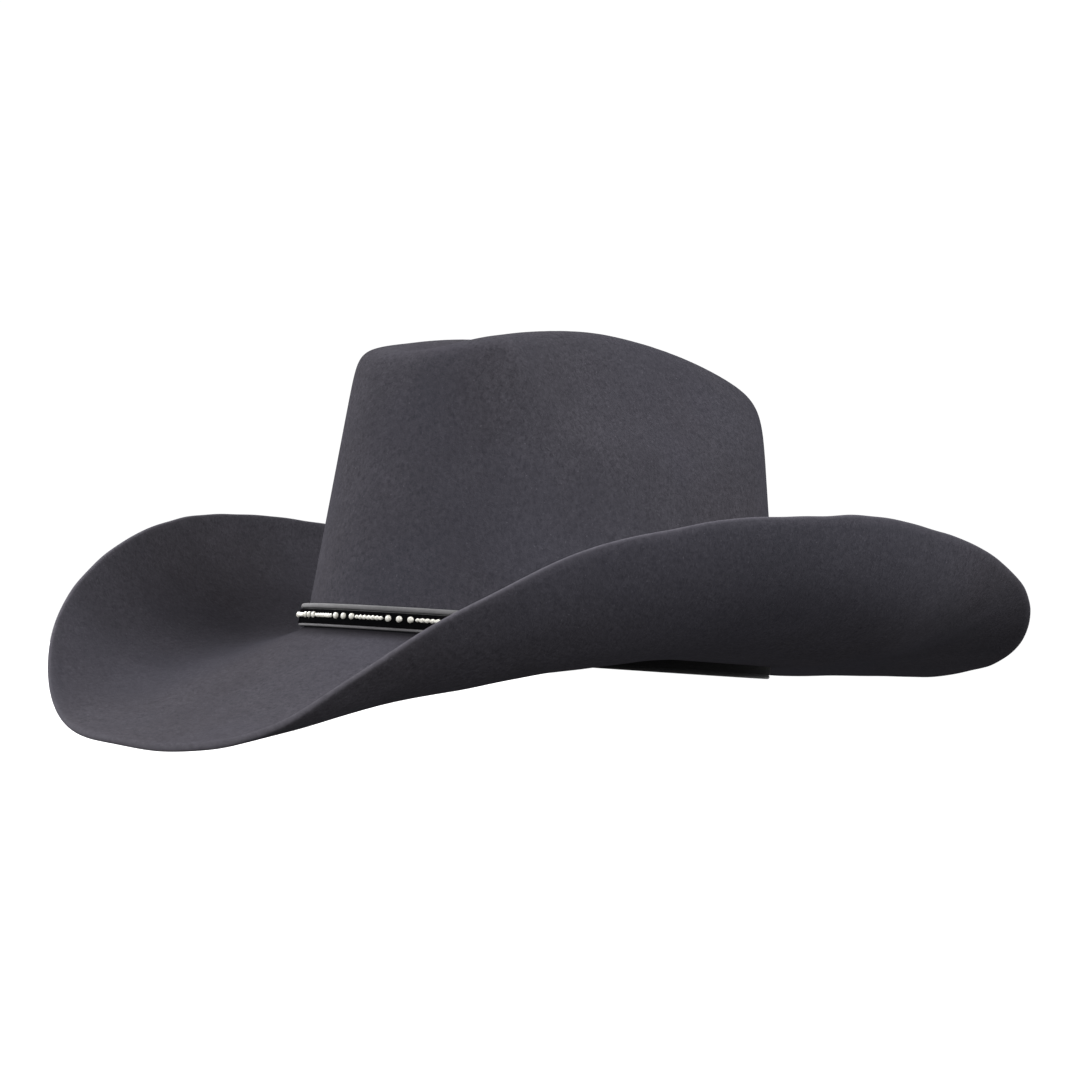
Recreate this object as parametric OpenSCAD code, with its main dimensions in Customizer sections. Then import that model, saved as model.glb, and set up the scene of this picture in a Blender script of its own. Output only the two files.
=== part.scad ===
// Felt cowboy hat: a moulded felt body with a side-dented crown and a curled brim,
// a leather sweatband and satin lining inside, and a narrow studded band with a small buckle.
// Frame: origin at the centre of the head opening on the line where crown meets brim,
// +Z up through the crown, -Y towards the front of the hat, +X towards the wearer's left.
// Angles around the hat start at the front and turn towards the wearer's left.

/* [Head opening] */
// Half width of the crown at the brim line, outside the felt
crown_half_w = 87.5; // [84:0.5:91]
// Half length of the crown at the brim line, outside the felt
crown_half_l = 104; // [100:0.5:108]

/* [Felt] */
// Thickness of the felt
felt_t = 2.8; // [2.2:0.1:3.4]

/* [Crown] */
// Highest point of the crown's side ridges above the brim line
crown_h = 125.4; // [118:0.2:130]
// Height of the crown at its front edge
front_h = 106.7; // [102:0.1:112]
// Height of the crown at its back edge
back_h = 103.4; // [98:0.1:110]
// Half width of the crown at its top
top_half_w = 68; // [65:0.5:72]
// Distance from the centre to the crown's front edge at the top
top_front = 90.8; // [86:0.2:94]
// Distance from the centre to the crown's back edge at the top
top_back = 90.8; // [86:0.2:94]
// Place of the highest point along the hat
peak_y = -10; // [-20:1:0]
// Distance of each side ridge from the centre line
ridge_x = 46.8; // [44:0.2:50]
// How much closer together the ridges are where the crown is pinched
pinch_d = 7; // [0:0.5:12]
// Depth of the centre crease between the ridges
crease_d = 12.3; // [6:0.1:16]
// Depth of each side dent below its ridge
dent_d = 51; // [40:1:54]
// Distance of each dent's lower lip from the centre line
lip_x = 78; // [74:1:82]

/* [Brim] */
// Width of the brim from the crown to the edge, measured along the felt
brim_w = 103; // [95:1:112]
// Rise angle of the brim where it leaves the crown, every 30 degrees from front to back
leave_angle = [-30.2, -26.1, -12.4, 5.3, 5.1, 7.1, -3.6];
// Rise angle of the brim at its edge, every 30 degrees from front to back
edge_angle = [-12.6, 0, 69.2, 82.7, 75.8, 2.6, 7.5];
// How late the curl comes along the brim's width at the front and at the back, 1 is even
curl_late = [1.72, 2.11];
// Forward fan of the brim's width lines at the sides, in degrees
brim_fan = 26; // [20:1:32]
// Further fan of those lines between the sides and the front and back, in degrees
corner_fan = 9.7; // [6:0.1:12]

/* [Hat band] */
// Height of the band above the brim line
band_z = 1.9; // [1.9:0.1:2.6]
// Height of the grey base strip
band_h = 8.8; // [8:0.2:10]
// Thickness of the base strip, and of the strap on it
band_t = 1.4; // [1.2:0.1:1.6]
// Number of repeats of the bead pattern around the band
pattern_n = 23; // [20:1:25]

/* [Buckle] */
// Place of the buckle around the hat
buckle_angle = 100; // [95:1:110]
// Length of the buckle frame along the band
buckle_l = 11.5; // [10:0.5:13]

/* [Sweatband] */
// Height of the leather above the brim line
sweat_top = 50; // [44:1:56]
// How far the sweatband hangs below the brim line
sweat_drop = 6.2; // [5:0.1:7]

/* [Hidden] */

cols = 72;
edge_rows = 3;
felt_half = felt_t / 2;
station_step = 30;

// ---------- shape of the felt ----------

// Smooth step from 0 at a to 1 at b
function ease(a, b, x) = let (t = min(1, max(0, (x - a) / (b - a)))) t * t * (3 - 2 * t);

// Kernel of the even, periodic interpolation between the seven stations of one side
function kernel(x) = abs(sin(x / 2)) < 1e-6 ? 1 : sin(6 * x) / (12 * tan(x / 2));
function round_hat(list, a) =
    let (w = [for (j = [0:11]) list[j <= 6 ? j : 12 - j] * kernel(a - station_step * j)])
    w * [for (j = [0:11]) 1];

// Height of the crown's top surface over a point of the plan
function spine_z(y) =
    let (f = min(1.3, max(0, (peak_y - y) / (top_front + peak_y))),
         b = min(1.3, max(0, (y - peak_y) / (top_back - peak_y))))
    crown_h - (crown_h - front_h) * f * f - (crown_h - back_h) * pow(b, 2.55);
function crease_z(x, y) =
    crease_d * exp(-x * x / 225) * ease(0.7 - top_front, 30.7 - top_front, y)
    * (1 - ease(top_back - 50, top_back - 8, y));
// Distance of a ridge from the centre line: least at the pinch, ahead of the middle
function ridge_at(y) = ridge_x - pinch_d * exp(-pow((y + 46) / 28, 2));
function dent_z(x, y) =
    let (soft = 5,
         past = soft * ln(1 + exp((abs(x) - ridge_at(y)) / soft)),
         t = min(1, past / (lip_x - ridge_at(y))))
    dent_d * (1 - pow(1 - t, 2.4)) * ease(-82, -62, y) * (1 - 0.75 * ease(4.8, top_back, y));
function top_z(x, y) = spine_z(y) - crease_z(x, y) - dent_z(x, y);

// Plan of the crown's top edge, a slightly squared oval
function frontness(a) = ease(0.3, 0.9, 0.5 + 0.5 * cos(a));
function rim(a, inset) =
    let (n = 2.26, s = sin(a), c = cos(a),
         r = pow(pow(abs(s), n) + pow(abs(c), n), -1 / n))
    [(top_half_w - inset) * s * r, -((c > 0 ? top_front : top_back) - inset) * c * r];

// A point of the crown at share v of its height and share u of its half width
function crown_uv(a, u, v, inset) =
    let (e = rim(a, inset),
         x = u * ((crown_half_w - inset) * sin(a) * (1 - v) + e[0] * v),
         y = u * (-(crown_half_l - inset) * cos(a) * (1 - v) + e[1] * v))
    [x, y, felt_half + v * (top_z(x, y) - felt_half) - inset * pow(v, 4)];

// A point of the crown at angle p from the brim line (0) to the middle of the top (90)
function crown_point(a, p, inset) =
    let (m = 18.7 + 9.8 * frontness(a),
         r = pow(pow(cos(p), m) + pow(sin(p), m), -1 / m))
    crown_uv(a, r * cos(p), r * sin(p), inset);

// A point of the crown's wall at height z, d outside the felt's outer face
function wall_v(a, z, d, tries) =
    tries == 0 ? max(0, (z - felt_half) / (crown_h * 0.8)) :
    let (p = crown_uv(a, 1, wall_v(a, z, d, tries - 1), -d))
    min(0.9, max(0, (z - felt_half) / (top_z(p[0], p[1]) - felt_half)));
function wall_point(a, z, d) =
    let (p = crown_uv(a, 1, wall_v(a, z, d, 3), -d)) [p[0], p[1], z];

// Middle surface of the brim: points [distance along the ray, height, slope angle]
brim_steps = 9;
function brim_slope(a, s) =
    let (late = (curl_late[0] + curl_late[1]) / 2 + (curl_late[0] - curl_late[1]) / 2 * cos(a),
         from = round_hat(leave_angle, a))
    from + (round_hat(edge_angle, a) - from) * pow(s, late);
function brim_profile(a) =
    let (step = brim_w / brim_steps)
    [for (i = 0, p = [0, 0]; i <= brim_steps;
          f = brim_slope(a, (i + 0.5) / brim_steps), i = i + 1,
          p = p + step * [cos(f), sin(f)])
        [p[0], p[1], brim_slope(a, i / brim_steps)]];
function brim_ray(a) =
    atan2(crown_half_l * sin(a), crown_half_w * cos(a)) - brim_fan * sin(a)
    - corner_fan * sin(2 * a);
// A point off the middle surface by k along its normal, and by r past it along its slope
function brim_point(a, p, k, r) =
    let (out = p[0] - k * sin(p[2]) + r * cos(p[2]), b = brim_ray(a))
    [crown_half_w * sin(a) + out * sin(b), -crown_half_l * cos(a) - out * cos(b),
     p[1] + k * cos(p[2]) + r * sin(p[2])];

// ---------- solids from rows of points ----------

// Closed skin over rows of n points each: rows join in order, the last to the first
module closed_rows(rows) {
    n = len(rows[0]);
    k = len(rows);
    polyhedron([for (r = rows) each r],
        [for (i = [0:k - 1], j = [0:n - 1])
            let (a = i * n + j, b = i * n + (j + 1) % n,
                 c = ((i + 1) % k) * n + (j + 1) % n, d = ((i + 1) % k) * n + j)
            each [[a, c, b], [a, d, c]]]);
}
// Closed skin over rows, with one point closing each end
module capped_rows(first, rows, last) {
    n = len(rows[0]);
    k = len(rows);
    polyhedron([first, for (r = rows) each r, last],
        [for (j = [0:n - 1]) [0, 1 + j, 1 + (j + 1) % n],
         for (i = [0:k - 2], j = [0:n - 1])
            let (a = 1 + i * n + j, b = 1 + i * n + (j + 1) % n, c = b + n, d = a + n)
            each [[a, c, b], [a, d, c]],
         for (j = [0:n - 1]) [1 + n * k, 1 + n * (k - 1) + (j + 1) % n, 1 + n * (k - 1) + j]]);
}
angles = [for (i = [0:cols - 1]) i * 360 / cols];

// A ring that follows the crown's wall between two heights and two distances from the felt
module wall_ring(z0, z1, d0, d1, steps = 1) {
    up = [for (i = [0:steps]) z0 + (z1 - z0) * i / steps];
    down = [for (i = [0:steps]) z1 + (z0 - z1) * i / steps];
    closed_rows([for (z = down) [for (a = angles) wall_point(a, z, d1)],
                 for (z = up) [for (a = angles) wall_point(a, z, d0)]]);
}
// A piece of such a ring from angle a0 to a1, with its distance from the felt eased by lift
module wall_strip(a0, a1, z0, z1, d0, d1, steps = 8, lift = 0) {
    ring = [for (i = [0:steps])
        let (a = a0 + (a1 - a0) * i / steps, e = lift == 0 ? 0 : strap_lift(a))
        [wall_point(a, z0, d0 + e), wall_point(a, z1, d0 + e),
         wall_point(a, z1, d1 + e), wall_point(a, z0, d1 + e)]];
    polyhedron([for (r = ring) each r],
        [[0, 3, 2, 1],
         for (i = [0:steps - 1], j = [0:3])
            let (a = 4 * i + j, b = 4 * i + (j + 1) % 4) each [[a, b, b + 4], [a, b + 4, a + 4]],
         [for (j = [0:3]) 4 * steps + j]]);
}

// ---------- felt ----------

// Angles of the crown's rows, closer together where the top turns into the wall
crown_rows = [84, 78, 72, 66, 60, 55, 51, 48, 46.5, 45.5, 44.5, 43.5, 42, 39, 35, 30, 24, 17, 9];

module felt_body() {
    top = top_z(0, 0);
    profile = [for (a = angles) brim_profile(a)];
    color("#4b4a52")
    capped_rows([0, 0, top],
        [for (p = crown_rows) [for (a = angles) crown_point(a, p, 0)],
         [for (a = angles) crown_point(a, 0, 0)],
         for (i = [1:brim_steps])
            [for (j = [0:cols - 1]) brim_point(angles[j], profile[j][i], felt_half, 0)],
         for (i = [1:edge_rows])
            let (t = 90 - 180 * i / (edge_rows + 1))
            [for (j = [0:cols - 1]) brim_point(angles[j], profile[j][brim_steps],
                felt_half * sin(t), felt_half * cos(t))],
         for (i = [brim_steps:-1:1])
            [for (j = [0:cols - 1]) brim_point(angles[j], profile[j][i], -felt_half, 0)],
         [for (a = angles) [(crown_half_w - felt_t) * sin(a), -(crown_half_l - felt_t) * cos(a),
            -felt_half]],
         for (i = [len(crown_rows) - 1:-1:0])
            [for (a = angles) crown_point(a, crown_rows[i], felt_t)]],
        [0, 0, top - felt_t]);
}

// ---------- inside the crown ----------

tape_d = -felt_t - 0.6;
tape_t = 0.4;
sweat_d = tape_d - tape_t - 0.2;
sweat_t = 1.1;
reed_r = 0.7;
sweat_z = -sweat_drop + 2 * reed_r + 0.05;
sweat_face = sweat_d - sweat_t;
sweat_steps = 8;
sweat_step = (sweat_top - sweat_z) / sweat_steps;

module sweatband() {
    color("#17171a") wall_ring(sweat_z, sweat_top, sweat_face, sweat_d, sweat_steps);
}
module reed_tape() {
    color("#26262a") wall_ring(sweat_z, sweat_z + 2 * sweat_step, tape_d - tape_t, tape_d, 2);
}
// Plastic reed that keeps the sweatband's lower edge oval
module sweatband_reed() {
    sides = 8;
    d = sweat_d - sweat_t / 2;
    color("#101012")
    closed_rows([for (i = [0:sides - 1]) [for (a = angles)
        let (t = 360 * i / sides, e = d - reed_r * sin(t))
        [(crown_half_w + e) * sin(a), -(crown_half_l + e) * cos(a),
         -sweat_drop + reed_r + reed_r * cos(t)]]]);
}
// Stitches through the leather and the tape, on the leather's inner face
module sweatband_stitching() {
    stitches = 120;
    stitch = [3, 0.4, 0.5];
    color("#5a5a60")
    for (i = [0:stitches - 1]) {
        a = (i + 0.5) * 360 / stitches;
        on_wall(a, sweat_z + 2.2, sweat_face - stitch[1] / 2 - 0.08) cube(stitch, center = true);
    }
}
// Tape over the back seam, in as many steps up the wall as the leather has
module sweatband_seam_tape() {
    ends = [sweat_z + 4.5, sweat_top - 4];
    color("#202024")
    for (i = [0:sweat_steps - 1])
        wall_strip(178, 182, max(ends[0], sweat_z + i * sweat_step),
            min(ends[1], sweat_z + (i + 1) * sweat_step), sweat_face - 0.6, sweat_face - 0.2);
}
// Ribbon bow that closes the sweatband's back seam: two flat loops and a knot
module sweatband_bow() {
    loop_l = 8;
    loop_r = 1.5;
    knot = [2.4, 2, 2.4];
    color("#101012")
    on_wall(180, sweat_z + 5.5, sweat_face - 1.95)
    union() {
        cube(knot, center = true);
        for (side = [-1, 1]) hull() {
            translate([side * loop_l * 0.85, 0, 0]) rotate([90, 0, 0])
                cylinder(r = loop_r, h = 1.4, center = true, $fn = 24);
            cube([1, 1, 1], center = true);
        }
    }
}
side_out = felt_t + 0.15;
tip_out = felt_t + 1.6;
lining_t = 0.4;
lining_split = 40;
module lining_side() {
    rows = [22, 26, 30, 35, 38, lining_split];
    color("#3c3b42")
    closed_rows([for (i = [len(rows) - 1:-1:0]) [for (a = angles) crown_point(a, rows[i], side_out)],
                 for (p = rows) [for (a = angles) crown_point(a, p, side_out + lining_t)]]);
}
module lining_tip() {
    rows = [for (i = [len(crown_rows) - 1:-1:0]) if (crown_rows[i] > lining_split) crown_rows[i]];
    apex = top_z(0, 0) - tip_out;
    color("#45444c")
    capped_rows([0, 0, apex],
        [for (i = [len(rows) - 1:-1:0]) [for (a = angles) crown_point(a, rows[i], tip_out)],
         for (p = rows) [for (a = angles) crown_point(a, p, tip_out + lining_t)]],
        [0, 0, apex - lining_t]);
}
module size_label() {
    color("#d8d6cf") wall_strip(150, 160, 18, 28, sweat_face - 0.35, sweat_face - 0.08, 2);
}

// ---------- hat band ----------

base_d = 0.3;
strap_d = base_d + band_t;
face_d = strap_d + band_t;
// Gap between the base strip and the strap on it, so that their facets stay apart
strap_gap = 0.12;
strap_z = band_z + 1.1;
strap_h = 5.4;
bead_z = strap_z + strap_h / 2 + 0.5;
mid_z = strap_z + strap_h / 2;

// Places children on the wall at an angle: X along the hat towards the front on the wearer's
// left side, Y straight out of the wall, Z up the wall's own slope
function lean(a, z, d) =
    let (p = wall_point(a, z + 5, d), q = wall_point(a, z - 0.4, d))
    atan2(norm([p[0] - q[0], p[1] - q[1]]), 5.4);
function facing(a) = atan2(-(crown_half_l + face_d) * sin(a), -(crown_half_w + face_d) * cos(a));
module on_wall(a, z, d) {
    translate(wall_point(a, z, d)) rotate([0, 0, facing(a)]) rotate([lean(a, z, d), 0, 0]) children();
}
// Angle around the hat of a distance along the band from the front, corrected for the oval
function band_angle(share) = let (t = share * 360) t + 2.38 * sin(2 * t);

module band_base() {
    color("#8d8d90")
    difference() {
        wall_ring(band_z, band_z + band_h, base_d, strap_d - strap_gap, 2);
        at_keeper() keeper_pocket();
    }
}
// Room behind the strap for the keeper's inner wall and its slide
module keeper_pocket() {
    slide = [4.2, 5.2];
    reach = keeper_gap + keeper_wall;
    low = -6;
    translate([-slide[0], -band_t - reach - 0.25, low])
        cube([slide[0] + slide[1], reach + 0.55, strap_h / 2 + reach + 0.3 - low]);
}
module band_strap() {
    color("#151517") wall_ring(strap_z, strap_z + strap_h, strap_d, face_d, 1);
}

// Bead pattern: three round studs, then one bar
stud_r = 1.25;
stud_step = 4.7;
bar_l = 13.4;
bar_r = 0.95;
oval_round = 2 * PI * sqrt((pow(crown_half_w + face_d, 2) + pow(crown_half_l + face_d, 2)) / 2);
pattern_start = -2.8 / oval_round;
// The pattern stops where the strap's end and the buckle lie
function is_clear(a) = abs(a - (buckle_angle + 8)) > 18;

module band_studs() {
    color("#e8e4d8")
    for (i = [0:pattern_n - 1], j = [-1:1]) {
        a = band_angle(pattern_start + i / pattern_n + j * stud_step / oval_round);
        if (is_clear(a)) on_wall(a, bead_z, face_d + 0.04)
            intersection() {
                sphere(r = stud_r, $fn = 24);
                translate([-2, 0, -2]) cube([4, 2, 4]);
            }
    }
}
module band_bars() {
    color("#e8e4d8")
    for (i = [0:pattern_n - 1]) {
        a = band_angle(pattern_start + (i + 0.5) / pattern_n);
        if (is_clear(a)) on_wall(a, bead_z, face_d + 0.04)
            rotate([0, 90, 0]) rotate_extrude(angle = 180, $fn = 32) intersection() {
                union() {
                    square([2 * bar_r, bar_l - 2 * bar_r], center = true);
                    for (side = [-1, 1]) translate([0, side * (bar_l / 2 - bar_r)])
                        circle(r = bar_r, $fn = 32);
                }
                translate([0, -bar_l]) square(2 * bar_l);
            }
    }
}

// ---------- buckle, on the strap's outer face ----------

// Millimetres along the band for one degree around the hat, near the buckle
mm_per_deg = 1.859;
pin_r = 0.55;
pin_d = 1.2;
keeper_x = -16;
keeper_l = 3;
keeper_wall = 0.45;
keeper_gap = 0.42;
end_t = 1;
end_past = 34;
slot_w = 2.4;
// Where the strap's end starts, past the frame's pin
end_start = 8.5;
// Distance of the strap's end from the strap below: over the buckle's pin, then flat
function strap_lift(a) =
    let (x = (buckle_angle - a) * mm_per_deg)
    0.1 + 2.25 * ease(9, 1.5, x) * ease(-11, -4, x);

module strap_end() {
    color("#151517")
    difference() {
        wall_strip(buckle_angle - end_start / mm_per_deg, buckle_angle + end_past / mm_per_deg,
            strap_z + 0.1, strap_z + strap_h - 0.1, face_d, face_d + end_t, 24, lift = 1);
        at_buckle() translate([-1.8, -1, -slot_w / 2]) cube([10, 6, slot_w]);
    }
}
module at_buckle() {
    on_wall(buckle_angle, mid_z, face_d) children();
}
// Metal cap over the last of the strap's end
module strap_tip() {
    a = buckle_angle + (end_past + 0.1) / mm_per_deg;
    color("#c9c9cc")
    on_wall(a, mid_z, face_d + 0.15)
    rotate([-90, 0, 0])
    linear_extrude(1.2)
    intersection() {
        translate([-5, 0]) circle(r = 5.2, $fn = 48);
        translate([-6.5, -strap_h / 2 + 0.05]) square([6.4, strap_h - 0.1]);
    }
}
// Leather tab folded around the buckle's pin and sewn to the strap
module buckle_chape() {
    ear = (strap_h - slot_w) / 2 - 0.2;
    color("#1c1c1f")
    at_buckle()
    difference() {
        union() {
            translate([-7.4, 0.16, -strap_h / 2 + 0.1]) cube([6.2, 0.8, strap_h - 0.2]);
            for (z = [-strap_h / 2 + 0.1, slot_w / 2 + 0.1]) translate([0, pin_d, z]) {
                cylinder(r = pin_r + 0.45, h = ear, $fn = 32);
                translate([-2, -1.04, 0]) cube([2, 0.8, ear]);
            }
        }
        translate([0, pin_d, -strap_h]) cylinder(r = pin_r + 0.05, h = 2 * strap_h, $fn = 32);
    }
}
module buckle_frame() {
    w = 0.85;
    open_h = strap_h + 1;
    color("#c9c9cc")
    at_buckle() {
        translate([0, pin_d, 0]) cylinder(r = pin_r, h = open_h + w, center = true, $fn = 32);
        translate([0, 0.3, 0]) rotate([-90, 0, 0]) linear_extrude(1.3) difference() {
            translate([-0.8, -open_h / 2 - w]) square([buckle_l, open_h + 2 * w]);
            translate([-2, -open_h / 2]) square([buckle_l + 1.2 - 1.5, open_h]);
        }
    }
}
module buckle_tongue() {
    w = 1.2;
    color("#d2d2d5")
    at_buckle() translate([0, pin_d, 0]) difference() {
        union() {
            cylinder(r = pin_r + 0.5, h = w, center = true, $fn = 32);
            translate([0.4, 0.45, -w / 2]) cube([buckle_l - 1.6, 0.6, w]);
        }
        cylinder(r = pin_r + 0.06, h = 2 * w, center = true, $fn = 32);
    }
}
// Metal loop that holds the strap's end down, free to slide a little along it
module at_keeper() {
    on_wall(buckle_angle - keeper_x / mm_per_deg, mid_z, face_d) children();
}
module band_keeper() {
    deep = band_t + end_t + 0.1;
    out = keeper_gap + keeper_wall;
    color("#c9c9cc")
    at_keeper()
    rotate([0, 90, 0])
    linear_extrude(keeper_l, center = true)
    difference() {
        translate([-strap_h / 2 - out, -band_t - out]) square([strap_h + 2 * out, deep + 2 * out]);
        translate([-strap_h / 2 - keeper_gap, -band_t - keeper_gap])
            square([strap_h + 2 * keeper_gap, deep + 2 * keeper_gap]);
    }
}

felt_body();
sweatband();
sweatband_reed();
reed_tape();
sweatband_stitching();
sweatband_seam_tape();
sweatband_bow();
lining_side();
lining_tip();
size_label();
band_base();
band_strap();
band_studs();
band_bars();
strap_end();
strap_tip();
buckle_chape();
buckle_frame();
buckle_tongue();
band_keeper();
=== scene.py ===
"""Felt cowboy hat: the looks. Lengths are in millimetres, and MM turns them into metres as a mesh is made."""

import math

import bmesh
import bpy
import numpy as np
from mathutils import Matrix, Vector


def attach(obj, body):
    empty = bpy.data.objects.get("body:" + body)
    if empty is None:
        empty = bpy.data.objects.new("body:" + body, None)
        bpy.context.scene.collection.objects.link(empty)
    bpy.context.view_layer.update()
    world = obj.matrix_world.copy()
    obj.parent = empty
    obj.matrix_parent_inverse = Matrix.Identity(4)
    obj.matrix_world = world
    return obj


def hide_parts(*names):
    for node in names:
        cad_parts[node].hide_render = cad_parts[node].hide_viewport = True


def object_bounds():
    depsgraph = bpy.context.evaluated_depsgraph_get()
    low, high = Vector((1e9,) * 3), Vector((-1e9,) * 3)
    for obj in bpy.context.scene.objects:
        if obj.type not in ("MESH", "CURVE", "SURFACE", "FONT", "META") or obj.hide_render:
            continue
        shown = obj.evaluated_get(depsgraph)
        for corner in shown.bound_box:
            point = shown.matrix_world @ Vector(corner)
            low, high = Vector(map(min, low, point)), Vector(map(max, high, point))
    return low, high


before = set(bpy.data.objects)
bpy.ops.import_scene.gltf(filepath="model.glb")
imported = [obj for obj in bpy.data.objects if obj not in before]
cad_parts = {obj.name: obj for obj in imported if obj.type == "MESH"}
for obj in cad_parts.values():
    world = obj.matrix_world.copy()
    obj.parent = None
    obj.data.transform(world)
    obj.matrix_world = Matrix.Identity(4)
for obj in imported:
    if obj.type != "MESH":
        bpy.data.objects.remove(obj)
cad_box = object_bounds()

MM = 0.001

# ---------------------------------------------------------------- driving dimensions, as in the CAD model
CROWN_HALF_W = 87.5
CROWN_HALF_L = 104.0
FELT_T = 2.8
CROWN_H = 125.4
FRONT_H = 106.7
BACK_H = 103.4
TOP_HALF_W = 68.0
TOP_FRONT = 90.8
TOP_BACK = 90.8
PEAK_Y = -10.0
RIDGE_X = 46.8
PINCH_D = 7.0
CREASE_D = 12.3
DENT_D = 51.0
LIP_X = 78.0
BRIM_W = 103.0
LEAVE_ANGLE = (-30.2, -26.1, -12.4, 5.3, 5.1, 7.1, -3.6)
EDGE_ANGLE = (-12.6, 0, 69.2, 82.7, 75.8, 2.6, 7.5)
CURL_LATE = (1.72, 2.11)
BRIM_FAN = 26.0
CORNER_FAN = 9.7
BAND_Z = 1.9
BAND_H = 8.8
BAND_T = 1.4
PATTERN_N = 23
BUCKLE_ANGLE = 100.0
SWEAT_TOP = 50.0
SWEAT_DROP = 6.2

# derived from them
FELT_HALF = FELT_T / 2
BASE_D = 0.3
STRAP_D = BASE_D + BAND_T
FACE_D = STRAP_D + BAND_T
STRAP_Z = BAND_Z + 1.1
STRAP_H = 5.4
MID_Z = STRAP_Z + STRAP_H / 2
BEAD_Z = MID_Z + 0.5
TAPE_D = -FELT_T - 0.6
TAPE_T = 0.4
SWEAT_GAP = 0.2
SWEAT_D = TAPE_D - TAPE_T - SWEAT_GAP
SWEAT_T = 1.1
SWEAT_FACE = SWEAT_D - SWEAT_T
REED_R = 0.7
SWEAT_Z = -SWEAT_DROP + 2 * REED_R + 0.05
MM_PER_DEG = 1.859
STRAP_GAP = 0.12
PIN_R = 0.55
PIN_D = 1.2
SLOT_W = 2.4
END_T = 1.0
END_PAST = 34.0
END_START = 8.5
FRAME_L = 11.5
FRAME_W = 0.85
FRAME_OPEN = STRAP_H + 1
KEEPER_X = -16.0
KEEPER_L = 3.0
KEEPER_WALL = 0.45
KEEPER_GAP = 0.42
LINING_LOW = 22
LINING_SPLIT = 40
SIDE_OUT = FELT_T + 0.6
TIP_OUT = FELT_T + 1.6
LINING_T = 0.4
SLOT_END = -2.2
SLOT_TOP_ROOM = 0.3
EYE_R = 1.05
EYE_PLAY = 0.06
EYE_HALF = 0.6
TONGUE_L = FRAME_L - 1.3

# ---------------------------------------------------------------- shape of the felt


def ease(a, b, x):
    """Smooth step from 0 at a to 1 at b."""
    t = np.clip((x - a) / (b - a), 0, 1)
    return t * t * (3 - 2 * t)


def sin_d(a):
    return np.sin(np.radians(a))


def cos_d(a):
    return np.cos(np.radians(a))


def round_hat(stations, a):
    """Even, periodic interpolation between the seven stations of one side."""
    total = 0.0
    for j in range(12):
        x = np.radians(np.asarray(a, float) - 30 * j)
        near = np.abs(np.sin(x / 2)) < 1e-6
        kernel = np.where(near, 1.0, np.sin(6 * x) / (12 * np.tan(np.where(near, 1.0, x / 2))))
        total = total + stations[j if j <= 6 else 12 - j] * kernel
    return total


def top_height(x, y):
    """Height of the crown's top over a point of the plan: spine, less the crease and the side dents."""
    f = np.clip((PEAK_Y - y) / (TOP_FRONT + PEAK_Y), 0, 1.3)
    b = np.clip((y - PEAK_Y) / (TOP_BACK - PEAK_Y), 0, 1.3)
    spine = CROWN_H - (CROWN_H - FRONT_H) * f**2 - (CROWN_H - BACK_H) * b**2.55
    along = ease(0.7 - TOP_FRONT, 30.7 - TOP_FRONT, y) * (1 - ease(TOP_BACK - 50, TOP_BACK - 8, y))
    crease = CREASE_D * np.exp(-(x**2) / 225) * along
    soft = 5.0
    ridge = RIDGE_X - PINCH_D * np.exp(-(((y + 46) / 28) ** 2))
    past = soft * np.logaddexp(0, (np.abs(x) - ridge) / soft)
    t = np.clip(past / (LIP_X - ridge), 0, 1)
    dent = DENT_D * (1 - (1 - t) ** 2.4) * ease(-82, -62, y) * (1 - 0.75 * ease(4.8, TOP_BACK, y))
    return spine - crease - dent


def frontness(a):
    return ease(0.3, 0.9, 0.5 + 0.5 * cos_d(a))


def crown_uv(a, u, v, inset):
    """Point of the crown at share v of its height and share u of its half width."""
    s, c = sin_d(a), cos_d(a)
    n = 2.26
    r = (np.abs(s) ** n + np.abs(c) ** n) ** (-1 / n)
    rim_x = (TOP_HALF_W - inset) * s * r
    rim_y = -(np.where(c > 0, TOP_FRONT, TOP_BACK) - inset) * c * r
    x = u * ((CROWN_HALF_W - inset) * s * (1 - v) + rim_x * v)
    y = u * (-(CROWN_HALF_L - inset) * c * (1 - v) + rim_y * v)
    z = FELT_HALF + v * (top_height(x, y) - FELT_HALF) - inset * v**4
    return np.stack([x, y, z], -1)


def crown_point(a, p, inset):
    """Point of the crown at angle p from the brim line (0) to the middle of the top (90)."""
    m = 18.7 + 9.8 * frontness(a)
    r = (cos_d(p) ** m + sin_d(p) ** m) ** (-1 / m)
    return crown_uv(a, r * cos_d(p), r * sin_d(p), inset)


def wall_point(a, z, d):
    """Point of the crown's wall at height z, d outside the felt's outer face."""
    a, z, d = np.broadcast_arrays(np.asarray(a, float), np.asarray(z, float), np.asarray(d, float))
    v = np.maximum(0, (z - FELT_HALF) / (CROWN_H * 0.8))
    for _ in range(4):
        p = crown_uv(a, 1.0, v, -d)
        v = np.clip((z - FELT_HALF) / (top_height(p[..., 0], p[..., 1]) - FELT_HALF), 0, 0.9)
    p = crown_uv(a, 1.0, v, -d)
    return np.stack([p[..., 0], p[..., 1], z], -1)


def brim_slope(a, s):
    late = np.mean(CURL_LATE) + (CURL_LATE[0] - CURL_LATE[1]) / 2 * cos_d(a)
    leave = round_hat(LEAVE_ANGLE, a)
    return leave + (round_hat(EDGE_ANGLE, a) - leave) * s**late


def brim_profile(a, steps):
    """Rows of (distance along the ray, height, slope) from the crown to the edge, for an array of angles."""
    mid = (np.arange(steps) + 0.5) / steps
    slope = brim_slope(a[None, :], mid[:, None])
    step = BRIM_W / steps
    zero = np.zeros((1, len(a)))
    out = np.vstack([zero, np.cumsum(cos_d(slope), 0) * step])
    up = np.vstack([zero, np.cumsum(sin_d(slope), 0) * step])
    return out, up, brim_slope(a[None, :], np.linspace(0, 1, steps + 1)[:, None])


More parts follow.
